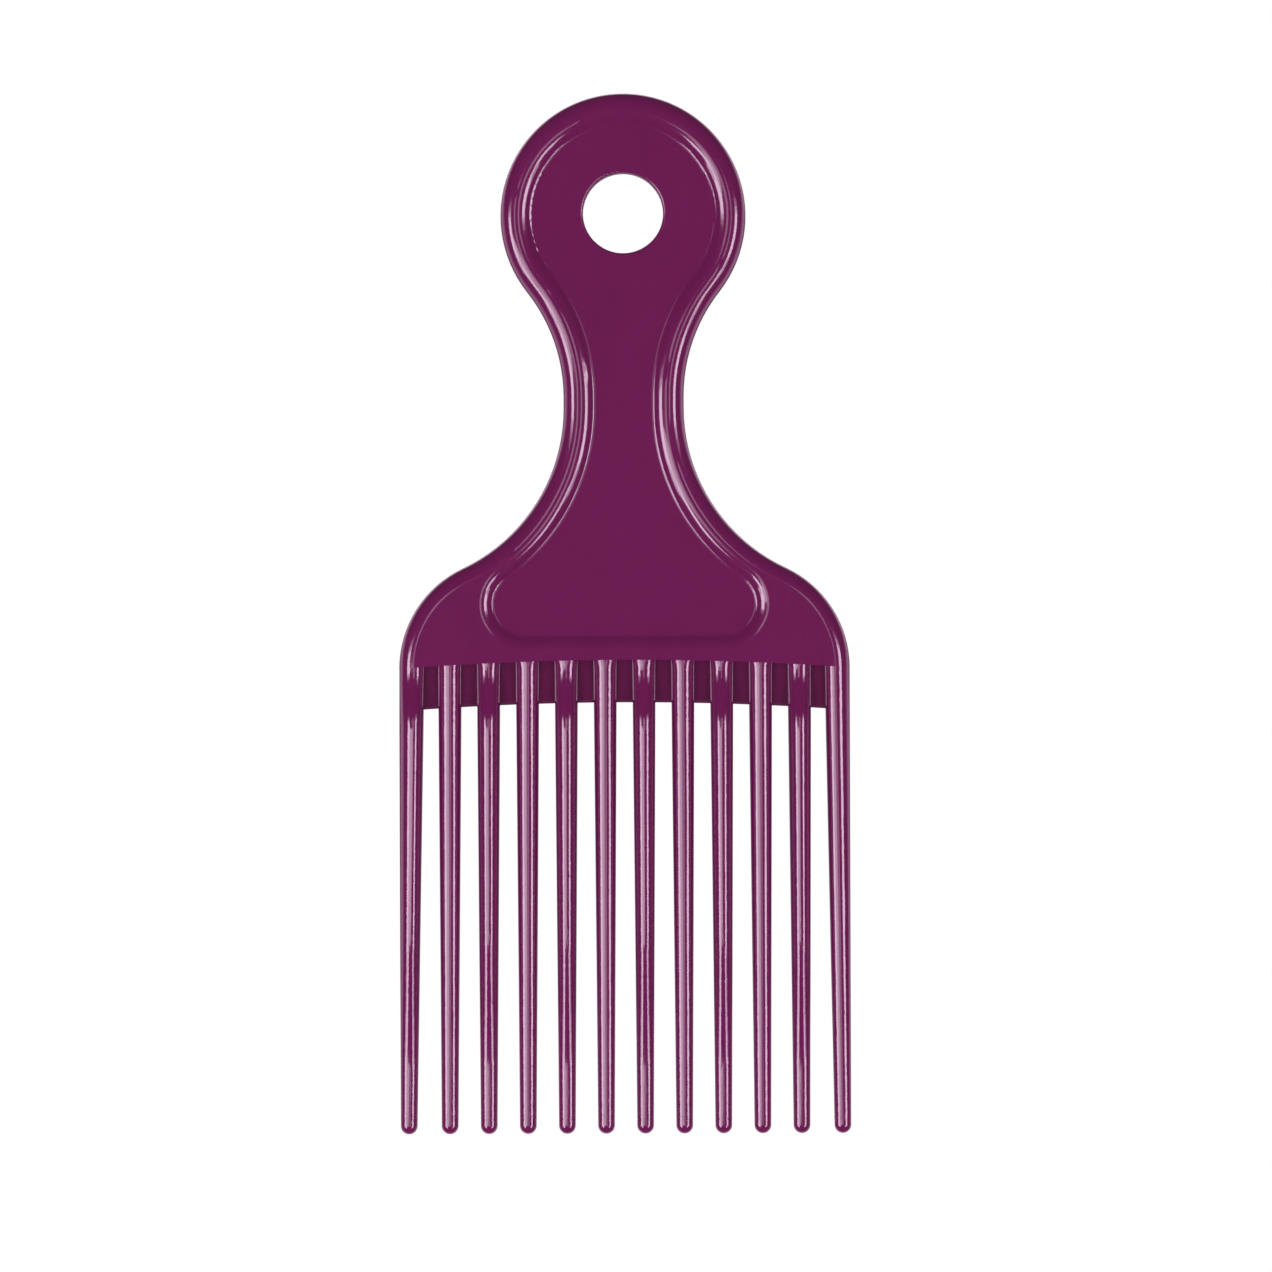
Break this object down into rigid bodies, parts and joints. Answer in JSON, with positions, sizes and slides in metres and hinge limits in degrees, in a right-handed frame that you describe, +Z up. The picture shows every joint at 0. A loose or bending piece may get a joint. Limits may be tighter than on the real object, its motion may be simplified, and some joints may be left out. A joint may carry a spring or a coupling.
{
  "type": "afro pick",
  "caption": "Flat plastic hair pick: a ring-ended handle with a hang hole widens to a shoulder plate that carries a row of long, tapering, round-tipped teeth.",
  "frame": {"origin": "centre of the hang hole, half way through the thickness", "axes": "+X along the row of teeth, to the right in the picture; +Y from the front face to the back; +Z up from the tips of the teeth to the ring"},
  "size_m": [0.0758, 0.0084, 0.175],
  "materials": {
    "plum_plastic": "glossy moulded plastic, dark plum, the same colour all through"
  },
  "bodies": {
    "root": {"handle": "plum_plastic", "tooth_web": "plum_plastic", "tooth_01": "plum_plastic", "tooth_02": "plum_plastic", "tooth_03": "plum_plastic", "tooth_04": "plum_plastic", "tooth_05": "plum_plastic", "tooth_06": "plum_plastic", "tooth_07": "plum_plastic", "tooth_08": "plum_plastic", "tooth_09": "plum_plastic", "tooth_10": "plum_plastic", "tooth_11": "plum_plastic", "tooth_12": "plum_plastic"}
  },
  "joints": []
}
